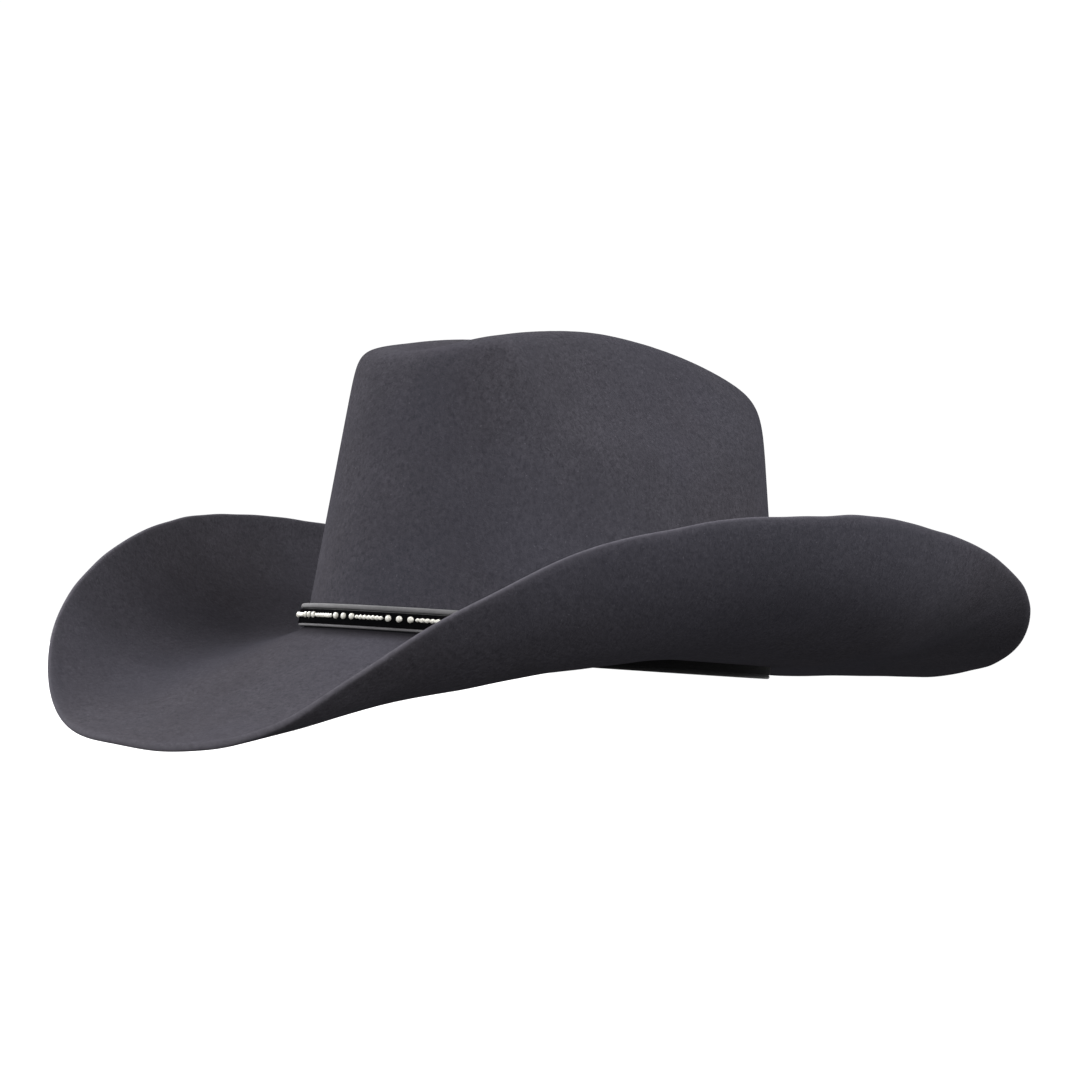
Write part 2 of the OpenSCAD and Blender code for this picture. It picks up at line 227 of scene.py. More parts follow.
def brim_point(a, out, up, slope, k, r):
    """Point off the brim's middle surface by k along its normal, and by r past it along its slope."""
    far = out - k * sin_d(slope) + r * cos_d(slope)
    ray = np.arctan2(CROWN_HALF_L * sin_d(a), CROWN_HALF_W * cos_d(a))
    ray = ray - np.radians(BRIM_FAN * sin_d(a) + CORNER_FAN * sin_d(2 * a))
    x = CROWN_HALF_W * sin_d(a) + far * np.sin(ray)
    y = -CROWN_HALF_L * cos_d(a) - far * np.cos(ray)
    return np.stack([x, y, up + k * cos_d(slope) + r * sin_d(slope)], -1)


# ---------------------------------------------------------------- meshes


def angles(n):
    return np.arange(n) * 360.0 / n


def mesh_piece(name, verts, faces):
    """Smooth-shaded mesh object from vertices in millimetres."""
    mesh = bpy.data.meshes.new(name)
    mesh.from_pydata((np.asarray(verts) * MM).tolist(), [], faces)
    mesh.validate()
    mesh.shade_smooth()
    obj = bpy.data.objects.new(name, mesh)
    bpy.context.scene.collection.objects.link(obj)
    return obj


def grid_faces(rows, cols, wrap_rows, first=0):
    """Quads of a grid whose columns wrap round the hat, facing outwards when the rows run downwards."""
    i = np.arange(rows if wrap_rows else rows - 1)[:, None]
    j = np.arange(cols)[None, :]
    a = first + i * cols + j
    b = first + i * cols + (j + 1) % cols
    c = first + ((i + 1) % rows) * cols + (j + 1) % cols
    d = first + ((i + 1) % rows) * cols + j
    return np.stack([a, d, c, b], -1).reshape(-1, 4).tolist()


def ring_piece(name, rows):
    """Closed ring from rows of points: each row goes round the hat, the last row joins the first."""
    rows = np.asarray(rows)
    return mesh_piece(name, rows.reshape(-1, 3), grid_faces(rows.shape[0], rows.shape[1], True))


def capped_piece(name, rows, first, last):
    """Closed skin with one point at each end of the rows."""
    rows = np.asarray(rows)
    k, n = rows.shape[:2]
    verts = np.vstack([[first], rows.reshape(-1, 3), [last]])
    faces = grid_faces(k, n, False, 1)
    end = 1 + n * k
    faces += [[0, 1 + j, 1 + (j + 1) % n] for j in range(n)]
    faces += [[end, end - n + (j + 1) % n, end - n + j] for j in range(n)]
    return mesh_piece(name, verts, faces)


def wall_sweep(name, section, cols=480):
    """Ring whose cross-section, a loop of (distance from the felt, height), follows the crown's wall."""
    a = angles(cols)
    return ring_piece(name, [wall_point(a, z, d) for d, z in section])


def rounded_section(d0, d1, z0, z1, r, arc=4):
    """Rounded rectangle of (distance, height) points, outer face first, running down."""
    points = []
    corners = ((d1 - r, z1 - r, 90), (d1 - r, z0 + r, 0), (d0 + r, z0 + r, -90), (d0 + r, z1 - r, -180))
    for d, z, start in corners:
        for i in range(arc + 1):
            t = start - 90 * i / arc
            points.append((d + r * cos_d(t), z + r * sin_d(t)))
    return points


def swept(path, side, up, sections, closed=False):
    """Skin over cross-sections of (across, above) points, one set at each point of a path."""
    path, side, up, sections = (np.asarray(v, float) for v in (path, side, up, sections))
    verts = path[:, None] + sections[..., :1] * side[:, None] + sections[..., 1:] * up[:, None]
    n, k = verts.shape[:2]
    faces = grid_faces(n, k, closed)
    if not closed:
        faces += [list(range(k)), [(n - 1) * k + j for j in range(k)]]
    return verts.reshape(-1, 3), faces


def squircle(half_w, half_h, n=16, power=3.0):
    """Loop of a rounded rectangle's section: half_w and half_h may be arrays along a path."""
    t = np.arange(n) * 2 * np.pi / n
    c, s = np.cos(t), np.sin(t)
    r = (np.abs(c) ** power + np.abs(s) ** power) ** (-1 / power)
    return np.stack([np.multiply.outer(half_w, c * r), np.multiply.outer(half_h, s * r)], -1)


def rounded_ends(n, share=0.12):
    """Scale of a bar's sections along its length, round at both ends."""
    t = np.linspace(0, 1, n)
    near = np.clip(np.minimum(t, 1 - t) / share, 0, 1)
    return np.sqrt(np.maximum(0.03, 1 - (1 - near) ** 2))


def across(path, normal):
    """Unit vectors square to a path and to a fixed normal."""
    way = np.gradient(path, axis=0)
    side = np.cross(way, normal)
    return side / np.linalg.norm(side, axis=1)[:, None]


def bar(path, normal, half_w, half_h, power=3.0, ends=0.08):
    """Round-ended bar along an open path, half_h along the normal and half_w across it."""
    path = np.asarray(path, float)
    k = rounded_ends(len(path), ends)
    sections = squircle(half_w * k, half_h * k, power=power)
    return swept(path, across(path, normal), np.tile(normal, (len(path), 1)), sections)


def loop_corners(half_a, half_b, r, arc=6):
    """Rounded rectangle as (a, b) points and the outward directions at them."""
    points, out = [], []
    for a, b, start in ((1, 1, 0), (-1, 1, 90), (-1, -1, 180), (1, -1, 270)):
        for i in range(arc + 1):
            t = start + 90 * i / arc
            way = (cos_d(t), sin_d(t))
            points.append((a * (half_a - r) + r * way[0], b * (half_b - r) + r * way[1]))
            out.append(way)
    return np.array(points), np.array(out)


def wave_noise(points, wavelength, seed, count=14):
    """Smooth field of about unit size: plane waves in random directions."""
    rng = np.random.default_rng(seed)
    way = rng.normal(size=(count, 3))
    way /= np.linalg.norm(way, axis=1)[:, None]
    k = 2 * np.pi / (wavelength * rng.uniform(0.7, 1.5, count))
    phase = rng.uniform(0, 2 * np.pi, count)
    return np.sin(points @ (way * k[:, None]).T + phase).sum(-1) / math.sqrt(count / 2)


def put(obj, body, slot, material, *nodes):
    """Gives a piece its material and body, and hides the CAD nodes that it stands for; slot is not used."""
    obj.data.materials.clear()
    obj.data.materials.append(material)
    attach(obj, body)
    if nodes:
        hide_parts(*nodes)
    return obj


# ---------------------------------------------------------------- materials


class Shader:
    """A node material with short calls for the nodes that the looks here are made of."""

    def __init__(self, name):
        self.mat = bpy.data.materials.new(name)
        self.mat.use_nodes = True
        self.tree = self.mat.node_tree
        self.bsdf = self.tree.nodes["Principled BSDF"]
        self.coords = self.tree.nodes.new("ShaderNodeTexCoord").outputs["Object"]

    def set(self, **inputs):
        for key, value in inputs.items():
            self.feed(self.bsdf.inputs[key.replace("_", " ")], value)

    def feed(self, socket, value):
        if isinstance(value, bpy.types.NodeSocket):
            self.tree.links.new(value, socket)
        else:
            socket.default_value = value

    def stretched(self, scale, turn=(0, 0, 0)):
        node = self.tree.nodes.new("ShaderNodeMapping")
        self.feed(node.inputs["Vector"], self.coords)
        node.inputs["Rotation"].default_value = turn
        node.inputs["Scale"].default_value = scale
        return node.outputs["Vector"]

    def noise(self, scale, detail=3.0, rough=0.5, coords=None, distort=0.0):
        node = self.tree.nodes.new("ShaderNodeTexNoise")
        self.feed(node.inputs["Vector"], coords or self.coords)
        node.inputs["Scale"].default_value = scale
        node.inputs["Detail"].default_value = detail
        node.inputs["Roughness"].default_value = rough
        node.inputs["Distortion"].default_value = distort
        return node.outputs["Fac"]

    def cells(self, scale, feature="F1", coords=None):
        node = self.tree.nodes.new("ShaderNodeTexVoronoi")
        node.feature = feature
        self.feed(node.inputs["Vector"], coords or self.coords)
        node.inputs["Scale"].default_value = scale
        return node.outputs["Distance"]

    def waves(self, scale, direction, distort=0.0, coords=None):
        node = self.tree.nodes.new("ShaderNodeTexWave")
        node.bands_direction = direction
        self.feed(node.inputs["Vector"], coords or self.coords)
        node.inputs["Scale"].default_value = scale
        node.inputs["Distortion"].default_value = distort
        return node.outputs["Fac"]

    def attribute(self, name):
        node = self.tree.nodes.new("ShaderNodeAttribute")
        node.attribute_name = name
        return node.outputs["Fac"]

    def math(self, operation, a, b=0.0):
        node = self.tree.nodes.new("ShaderNodeMath")
        node.operation = operation
        self.feed(node.inputs[0], a)
        self.feed(node.inputs[1], b)
        return node.outputs[0]

    def span(self, value, low, high, to_low=0.0, to_high=1.0):
        node = self.tree.nodes.new("ShaderNodeMapRange")
        self.feed(node.inputs["Value"], value)
        for key, number in zip(("From Min", "From Max", "To Min", "To Max"), (low, high, to_low, to_high)):
            node.inputs[key].default_value = number
        return node.outputs[0]

    def mix(self, share, a, b):
        node = self.tree.nodes.new("ShaderNodeMix")
        node.data_type = "RGBA"
        self.feed(node.inputs[0], share)
        self.feed(node.inputs[6], a if isinstance(a, bpy.types.NodeSocket) else (*a, 1))
        self.feed(node.inputs[7], b if isinstance(b, bpy.types.NodeSocket) else (*b, 1))
        return node.outputs[2]

    def bump(self, height, distance, strength=1.0, under=None):
        node = self.tree.nodes.new("ShaderNodeBump")
        self.feed(node.inputs["Height"], height)
        node.inputs["Distance"].default_value = distance
        node.inputs["Strength"].default_value = strength
        if under:
            self.feed(node.inputs["Normal"], under)
        return node.outputs["Normal"]


def tint(colour, k):
    return tuple(c * k for c in colour)


FELT_COLOUR = (0.0102, 0.0097, 0.0113)
FELT_COOL = (0.0100, 0.0105, 0.0146)


def felt_material():
    """Pressed wool felt: matted short fibres, pale specks of lint, blotches, an edge lightened partly as rubbed
    wear and partly as a painted highlight, and painted shade where the brim meets the crown under the band.
    """
    s = Shader("wool_felt")
    fuzz = s.noise(800, 5, 0.7, distort=0.8)
    along = s.noise(1, 3, 0.6, coords=s.stretched((1100, 260, 420), (0.4, 0.2, 0.6)))
    across = s.noise(1, 3, 0.6, coords=s.stretched((260, 1100, 480), (0.1, 0.7, -0.5)))
    fibres = s.math("ADD", s.math("MULTIPLY", fuzz, 0.6), s.math("MULTIPLY", s.math("ADD", along, across), 0.2))
    blotch = s.noise(46, 4, 0.6)
    broad = s.noise(9, 3, 0.5)
    colour = s.mix(s.span(fibres, 0.38, 0.62), tint(FELT_COLOUR, 0.6), tint(FELT_COLOUR, 1.42))
    colour = s.mix(s.span(blotch, 0.35, 0.65, 0, 0.35), colour, tint(FELT_COLOUR, 0.72))
    colour = s.mix(s.span(broad, 0.35, 0.65, 0, 0.25), colour, FELT_COOL)
    speck = s.span(s.noise(1300, 2, 0.5), 0.68, 0.76, 0, 0.4)
    colour = s.mix(speck, colour, tint(FELT_COLOUR, 3.6))
    # paler edge: partly rubbed wear of the cut felt, partly a painted highlight standing in for light along the
    # brim's edge
    edge = s.math("MULTIPLY", s.attribute("edge"), s.span(s.noise(420, 3), 0.3, 0.7, 0.6, 1.0))
    colour = s.mix(edge, colour, tint(FELT_COLOUR, 2.2))
    # painted shade: the felt goes to 0.45 of its colour along the brim break, standing in for the shadow under
    # the band
    colour = s.mix(s.attribute("painted_band_shade"), colour, tint(FELT_COLOUR, 0.45))
    normal = s.bump(fibres, 0.0005, 0.6)
    normal = s.bump(blotch, 0.0014, 0.25, normal)
    s.set(Base_Color=colour, Roughness=s.span(fibres, 0.35, 0.65, 0.86, 1.0), Normal=normal)
    s.set(Specular_IOR_Level=0.0, Sheen_Weight=0.004, Sheen_Roughness=0.6, Sheen_Tint=(0.75, 0.73, 0.82, 1))
    return s.mat


def leather_material(name, colour, gloss=0.4, grain=900, lift=0.00012, wear=1.8, shine=0.12):
    """Dyed leather: pebbled grain with pores, uneven polish, paler on the rubbed heights."""
    s = Shader(name)
    pebble = s.cells(grain)
    pores = s.span(s.cells(grain * 2.3), 0.0, 0.25)
    cloud = s.noise(60, 4, 0.6)
    height = s.math("ADD", s.math("MULTIPLY", pebble, 0.7), s.math("MULTIPLY", pores, 0.3))
    base = s.mix(s.span(cloud, 0.3, 0.7), tint(colour, 0.75), tint(colour, 1.25))
    base = s.mix(s.span(pebble, 0.25, 0.7, 0, 0.35), base, tint(colour, wear))
    s.set(Base_Color=base, Roughness=s.span(cloud, 0.3, 0.7, gloss - 0.07, gloss + 0.1))
    s.set(Normal=s.bump(height, lift, 0.6), Specular_IOR_Level=shine)
    return s.mat


def satin_material():
    """Lining satin: fine warp lines, soft lengthwise gloss, slight slubs."""
    s = Shader("lining_satin")
    warp = s.waves(900, "X", 0.4)
    weft = s.waves(700, "Y", 0.4)
    slub = s.noise(1, 3, 0.5, coords=s.stretched((40, 500, 500)))
    cloth = s.math("ADD", s.math("MULTIPLY", warp, 0.6), s.math("MULTIPLY", weft, 0.4))
    colour = s.mix(s.span(cloth, 0.2, 0.8), (0.030, 0.030, 0.038), (0.055, 0.055, 0.066))
    colour = s.mix(s.span(slub, 0.55, 0.75, 0, 0.5), colour, (0.08, 0.08, 0.095))
    s.set(Base_Color=colour, Roughness=s.span(slub, 0.3, 0.7, 0.34, 0.46), Sheen_Weight=0.03)
    s.set(Normal=s.bump(cloth, 0.00005, 0.5), Anisotropic=0.5, Specular_IOR_Level=0.12)
    return s.mat


def woven_material(name, colour, pitch=1200):
    """Plain-woven tape or ribbon."""
    s = Shader(name)
    warp = s.waves(pitch, "DIAGONAL", 0.2)
    weft = s.waves(pitch, "Z", 0.2)
    weave = s.math("MULTIPLY", warp, weft)
    fuzz = s.noise(1800, 3)
    colour_node = s.mix(s.span(weave, 0.1, 0.7), tint(colour, 0.6), tint(colour, 1.3))
    colour_node = s.mix(s.span(fuzz, 0.4, 0.7, 0, 0.3), colour_node, tint(colour, 1.8))
    s.set(Base_Color=colour_node, Roughness=0.85, Specular_IOR_Level=0.02, Sheen_Weight=0.01)
    s.set(Normal=s.bump(weave, 0.0001, 0.7))
    return s.mat


def bead_material():
    """Glossy cream glass-like bead, slightly uneven in tone."""
    s = Shader("cream_bead")
    cloud = s.noise(700, 3)
    colour = s.mix(s.span(cloud, 0.3, 0.7), (0.105, 0.101, 0.09), (0.16, 0.156, 0.144))
    s.set(Base_Color=colour, Roughness=s.span(cloud, 0.3, 0.7, 0.2, 0.34), Specular_IOR_Level=0.12)
    s.set(Normal=s.bump(s.noise(1500, 2), 0.00004, 0.5))
    return s.mat


def metal_material():
    """Polished nickel with fine hairlines and dull patches."""
    s = Shader("polished_nickel")
    hair = s.noise(1, 4, 0.6, coords=s.stretched((300, 300, 9000)))
    cloud = s.noise(160, 3)
    colour = s.mix(s.span(cloud, 0.3, 0.7), (0.56, 0.56, 0.58), (0.7, 0.69, 0.68))
    rough = s.math("ADD", s.span(hair, 0.3, 0.7, 0.12, 0.28), s.span(cloud, 0.4, 0.7, 0, 0.1))
    s.set(Base_Color=colour, Metallic=1.0, Roughness=rough, Normal=s.bump(hair, 0.00002, 0.4))
    return s.mat


def plastic_material():
    """Black extruded plastic with faint draw lines."""
    s = Shader("reed_plastic")
    cloud = s.noise(240, 3)
    colour = s.mix(cloud, (0.006, 0.006, 0.007), (0.014, 0.014, 0.016))
    s.set(Base_Color=colour, Roughness=s.span(cloud, 0.3, 0.7, 0.35, 0.5), Specular_IOR_Level=0.05)
    s.set(Normal=s.bump(s.noise(900, 3), 0.00003, 0.5))
    return s.mat


def floor_material():
    s = Shader("studio_floor")
    cloud = s.noise(1.2, 2)
    s.set(Base_Color=s.mix(cloud, (0.112, 0.112, 0.112), (0.116, 0.116, 0.116)), Roughness=0.9)
    return s.mat


# ---------------------------------------------------------------- felt body


def felt_body():
    cols = 480
    a = angles(cols)
    brim_steps = 44
    crown_angles = np.concatenate([
        np.linspace(88.5, 61, 18), np.linspace(59.5, 49.5, 13),
        np.linspace(49, 41, 33), np.linspace(40, 30, 10),
        np.linspace(28.5, 2.2, 18)])
    out, up, slope = brim_profile(a, brim_steps)
    rows, edge, painted_band_shade = [], [], []

    # The second number lightens the felt at its cut edges: partly rubbed wear, partly a painted highlight.
    # The third number darkens the felt with painted shade along the brim break, under the band.
    def add(row, edge_wear_and_highlight=0.0, deep=0.0):
        rows.append(row)
        edge.append(np.full(cols, edge_wear_and_highlight))
        painted_band_shade.append(np.full(cols, deep))

    def brim(i, k, r=0.0):
        return brim_point(a, out[i], up[i], slope[i], k, r)

    for p in crown_angles:
        add(crown_point(a, p, 0))
    # The fillet rows and the first two brim rows get painted shade, strongest at the fillet and fading out along
    # the brim.
    fillet = 1.2
    for t in (0.0, 0.35, 0.7, 1.0):
        low = wall_point(a, FELT_HALF + fillet * (1 - t), 0.0)
        flat = brim(1, FELT_HALF)
        share = t * t * fillet * 0.9 / np.maximum(out[1], 0.1)
        add(low + (flat - low) * share[:, None] * np.array([1, 1, 0.4]), 0.0, 0.9)
    for i in range(1, brim_steps + 1):
        add(brim(i, FELT_HALF), 0.1 if i == brim_steps else 0.0, max(0.0, 1.15 - 0.4 * i))
    # The rounded brim edge is lightened most on its outer face: partly rubbed wear, partly a painted highlight.
    for t in (60, 30, 0, -30, -60):
        edge_wear_and_highlight = 0.15 + 0.75 * max(0, cos_d(t)) ** 2
        add(brim(brim_steps, FELT_HALF * sin_d(t), FELT_HALF * 0.75 * cos_d(t)), edge_wear_and_highlight)
    for i in range(brim_steps, 0, -1):
        add(brim(i, -FELT_HALF), 0.2 if i == brim_steps else 0.0)
    add(np.stack([(CROWN_HALF_W - FELT_T + 0.8) * sin_d(a), -(CROWN_HALF_L - FELT_T + 0.8) * cos_d(a),
                  np.full(cols, -FELT_HALF)], -1), 0.3)
    add(np.stack([(CROWN_HALF_W - FELT_T) * sin_d(a), -(CROWN_HALF_L - FELT_T) * cos_d(a),
                  np.full(cols, -FELT_HALF + 0.8)], -1), 0.2)
    for p in crown_angles[::-1]:
        add(crown_point(a, p, FELT_T))
    rows = np.asarray(rows)
    top = float(top_height(0.0, 0.0))
    obj = capped_piece("felt_hat_body", rows, (0, 0, top), (0, 0, top - FELT_T))
    for name, rings in (("edge", edge), ("painted_band_shade", painted_band_shade)):
        attribute = obj.data.attributes.new(name, "FLOAT", "POINT")
        attribute.data.foreach_set("value", np.concatenate([[0], np.concatenate(rings), [0]]))
    co = np.zeros(len(obj.data.vertices) * 3)
    obj.data.vertices.foreach_get("co", co)
    co = co.reshape(-1, 3) / MM
    soft = 0.35 * wave_noise(co, 60, 5) + 0.12 * wave_noise(co, 22, 9)
    co[:, 2] += soft * np.clip((np.hypot(co[:, 0], co[:, 1]) - 105) / 40, 0, 1)
    obj.data.vertices.foreach_set("co", (co * MM).ravel())
    return obj


# ---------------------------------------------------------------- hat band


def band_angle(share):
    """Angle around the hat of a share of the band's length from the front, corrected for the oval."""
    t = share * 360
    return t + 2.38 * sin_d(2 * t)


def facing(a):
    """Turn about Z of the direction along the band, towards the front on the wearer's left."""
    return math.degrees(math.atan2(-(CROWN_HALF_L + FACE_D) * sin_d(a), -(CROWN_HALF_W + FACE_D) * cos_d(a)))


def wall_frame(a, z, d):
    """Matrix of a place on the wall, in metres: X along the band, Y out of the wall, Z up its slope."""
    p, q = wall_point(a, z + 5, d), wall_point(a, z - 0.4, d)
    lean = math.atan2(np.hypot(p[0] - q[0], p[1] - q[1]), 5.4)
    place = Vector(wall_point(a, z, d) * MM)
    turn = Matrix.Rotation(math.radians(facing(a)), 4, "Z") @ Matrix.Rotation(lean, 4, "X")
    return Matrix.Translation(place) @ turn


def is_clear(a):
    """Whether the bead pattern runs here: it stops under the strap's end and the buckle."""
    return abs(a % 360 - (BUCKLE_ANGLE + 8)) > 18


OVAL_ROUND = 2 * math.pi * math.sqrt(((CROWN_HALF_W + FACE_D) ** 2 + (CROWN_HALF_L + FACE_D) ** 2) / 2)
PATTERN_START = -2.8 / OVAL_ROUND
STUD_STEP = 4.7
BAR_L = 13.4
BEAD_LIFT = 0.04


def keeper_room(a):
    """1 where the base strip is thin behind the keeper and its slide, 0 elsewhere."""
    off = np.abs(a - (BUCKLE_ANGLE - KEEPER_X / MM_PER_DEG) - 0.3)
    return 1 - ease(3.0, 4.4, off)


def band_base():
    """Light grey strip with a rounded rim above and below the strap, thinned behind the keeper."""
    a = angles(480)
    room = keeper_room(a)
    top, low = BAND_Z + BAND_H, BAND_Z
    proud = (FACE_D - STRAP_D - 0.1) * (1 - 0.25 * room)
    rim_top, rim_low = 0.95 - 0.4 * room, 0.6 - 0.45 * room
    face = STRAP_D - STRAP_GAP - 0.9 * room
    rows = []
    for t in np.linspace(90, -90, 11):
        out = STRAP_D + 0.1 + proud * np.sqrt(max(0.0, cos_d(t)))
        rows.append(wall_point(a, top - rim_top * (1 - sin_d(t)), out))
    for z in (top - 2.1, low + 2.2):
        rows.append(wall_point(a, z, face))
    for t in np.linspace(90, -90, 9):
        out = STRAP_D + (proud - 0.15) * (1 - room) * np.sqrt(max(0.0, cos_d(t))) - 0.9 * room
        rows.append(wall_point(a, low + rim_low * (1 + sin_d(t)), out))
    for z in (low, low + 2, top - 2, top):
        rows.append(wall_point(a, z, BASE_D))
    return ring_piece("band_base_strip", rows)


def joined(name, parts):
    """One mesh piece from several (vertices in metres, faces)."""
    verts, faces, start = [], [], 0
    for v, f in parts:
        verts.append(np.asarray(v))
        faces += [[start + i for i in face] for face in f]
        start += len(v)
    obj = mesh_piece(name, np.vstack(verts) / MM, faces)
    skin = bmesh.new()
    skin.from_mesh(obj.data)
    bmesh.ops.recalc_face_normals(skin, faces=skin.faces)
    skin.to_mesh(obj.data)
    skin.free()
    return obj


def placed(matrix, points_mm):
    """Points in a wall frame, in millimetres, taken to the row frame in metres."""
    m = np.array(matrix)
    return (np.asarray(points_mm) * MM) @ m[:3, :3].T + m[:3, 3]


def lathe(profile, sides):
    """Closed surface of revolution about Y from (radius, y) points; its two ends lie on the axis."""
    inner = profile[1:-1]
    verts = [(0, profile[0][1], 0)]
    for r, y in inner:
        for j in range(sides):
            t = 2 * math.pi * j / sides
            verts.append((r * math.cos(t), y, r * math.sin(t)))
    verts.append((0, profile[-1][1], 0))
    faces = [[0, 1 + (j + 1) % sides, 1 + j] for j in range(sides)]
    for i in range(len(inner) - 1):
        for j in range(sides):
            a = 1 + i * sides + j
            b = 1 + i * sides + (j + 1) % sides
            faces.append([a, b, b + sides, a + sides])
    end = len(verts) - 1
    faces += [[end, end - sides + j, end - sides + (j + 1) % sides] for j in range(sides)]
    return np.array(verts), faces


def band_studs():
    """Round beads in threes, each one a dome on a thin flange."""
    flange = [(0, 0), (1.12, 0), (1.2, 0.1), (1.2, 0.3)]
    dome = [(1.1, 0.62), (0.88, 0.94), (0.57, 1.16), (0.26, 1.25), (0, 1.27)]
    verts, faces = lathe(flange + dome, 20)
    parts = []
    for i in range(PATTERN_N):
        for j in (-1, 0, 1):
            a = band_angle(PATTERN_START + i / PATTERN_N + j * STUD_STEP / OVAL_ROUND)
            if is_clear(a):
                parts.append((placed(wall_frame(a, BEAD_Z, FACE_D + BEAD_LIFT), verts), faces))
    return joined("band_bead_studs", parts)


def twisted_bar():
    """A bar of two twisted strands that tapers at its ends, flat against the strap."""
    steps, sides, turns = 84, 18, 3.4
    verts = []
    for i in range(steps + 1):
        s = i / steps
        x = (s - 0.5) * BAR_L
        taper = math.sqrt(max(0.02, 1 - abs(2 * s - 1) ** 9))
        for j in range(sides):
            t = 2 * math.pi * j / sides
            lobe = 0.8 + 0.2 * math.cos(2 * (t - 2 * math.pi * turns * s / 2 * 2))
            r = 0.86 * lobe * taper
            verts.append((x, max(0.0, 0.25 + r * math.cos(t)), r * math.sin(t)))
    faces = []
    for i in range(steps):
        for j in range(sides):
            a = i * sides + j
            b = i * sides + (j + 1) % sides
            faces.append([a, a + sides, b + sides, b])
    faces.append(list(range(sides)))
    faces.append([steps * sides + j for j in range(sides - 1, -1, -1)])
    return np.array(verts), faces


def band_bars():
    verts, faces = twisted_bar()
    parts = []
    for i in range(PATTERN_N):
        a = band_angle(PATTERN_START + (i + 0.5) / PATTERN_N)
        if is_clear(a):
            parts.append((placed(wall_frame(a, BEAD_Z, FACE_D + BEAD_LIFT), verts), faces))
    return joined("band_twisted_bars", parts)


# ---------------------------------------------------------------- buckle


def in_frame(name, matrix, *parts):
    """One piece from parts in a wall frame's millimetres."""
    return joined(name, [(placed(matrix, verts), faces) for verts, faces in parts])


def along_x(x0, x1, y, z, n=14):
    x = np.linspace(x0, x1, n)
    return np.stack([x, x * 0 + y, x * 0 + z], -1)


OUT = np.array([0.0, 1.0, 0.0])
UP = np.array([0.0, 0.0, 1.0])


def eye(radius, half_wall, half_h, y, z):
    """Short rounded tube about the pin."""
    t = np.linspace(0, 2 * np.pi, 40, endpoint=False)
    out = np.stack([np.cos(t), np.sin(t), t * 0], -1)
    section = squircle(np.full(40, half_wall), np.full(40, half_h), 12, 4.0)
    return swept(out * radius + np.array([0, y, z]), out, np.tile(UP, (40, 1)), section, closed=True)


def buckle_frame():
    """Three-sided polished bar with rounded corners, wider at its far end, closed by the pin."""
    half_z, corner = (FRAME_OPEN + FRAME_W) / 2, 2.2
    far = FRAME_L - 0.8 - 0.75
    turn = np.radians(np.linspace(90, 0, 10))
    upper = [(x, half_z) for x in np.linspace(-0.6, far - corner, 12)]
    bend = [(far - corner + corner * math.cos(t), half_z - corner + corner * math.sin(t)) for t in turn]
    straight = [(far, z) for z in np.linspace(half_z - corner, 0, 5)[1:-1]]
    half = upper + bend[1:] + straight
    plan = np.array(half + [(far, 0)] + [(x, -z) for x, z in half[::-1]])
    path = np.stack([plan[:, 0], np.full(len(plan), 0.95), plan[:, 1]], -1)
    wide = FRAME_W / 2 + (0.75 - FRAME_W / 2) * ease(far - corner, far - 0.2, plan[:, 0])
    hoop = bar(path, OUT, wide, np.full(len(path), 0.65), 2.6, 0.035)
    z = np.linspace(-half_z, half_z, 14)
    pin = bar(np.stack([z * 0, z * 0 + PIN_D, z], -1), OUT, np.full(14, PIN_R), np.full(14, PIN_R), 2.0, 0.03)
    return in_frame("buckle_frame_polished", wall_frame(BUCKLE_ANGLE, MID_Z, FACE_D), hoop, pin)


def buckle_tongue():
    """Flat tongue that narrows to a rounded tip, on an eye about the pin."""
    path = along_x(0.4, TONGUE_L, PIN_D + 0.75, 0, 22)
    narrow = 0.52 - 0.12 * ease(3, TONGUE_L, path[:, 0])
    tongue = bar(path, OUT, narrow, np.full(22, 0.3), 3.0, 0.06)
    bore = PIN_R + EYE_PLAY
    ring = eye((bore + EYE_R) / 2, (EYE_R - bore) / 2, EYE_HALF, PIN_D, 0)
    return in_frame("buckle_tongue_polished", wall_frame(BUCKLE_ANGLE, MID_Z, FACE_D), tongue, ring)


def band_keeper():
    """Flat metal loop round the strap and its end, with softened edges."""
    deep = BAND_T + END_T + 0.1
    half_z = STRAP_H / 2 + KEEPER_GAP + KEEPER_WALL / 2
    half_y = deep / 2 + KEEPER_GAP + KEEPER_WALL / 2
    plan, out = loop_corners(half_y, half_z, 0.8)
    middle = deep / 2 - BAND_T
    path = np.stack([plan[:, 0] * 0, plan[:, 0] + middle, plan[:, 1]], -1)
    outward = np.stack([out[:, 0] * 0, out[:, 0], out[:, 1]], -1)
    n = len(path)
    section = squircle(np.full(n, KEEPER_L / 2), np.full(n, KEEPER_WALL / 2), 20, 5.0)
    loop = swept(path, np.tile((1.0, 0.0, 0.0), (n, 1)), outward, section, closed=True)
    place = wall_frame(BUCKLE_ANGLE - KEEPER_X / MM_PER_DEG, MID_Z, FACE_D)
    return in_frame("band_keeper_loop", place, loop)


def strap_lift(a):
    """Distance of the strap's end from the strap below: over the buckle's pin, then flat."""
    x = (BUCKLE_ANGLE - a) * MM_PER_DEG
    return 0.1 + 2.25 * ease(9, 1.5, x) * ease(-11, -4, x)


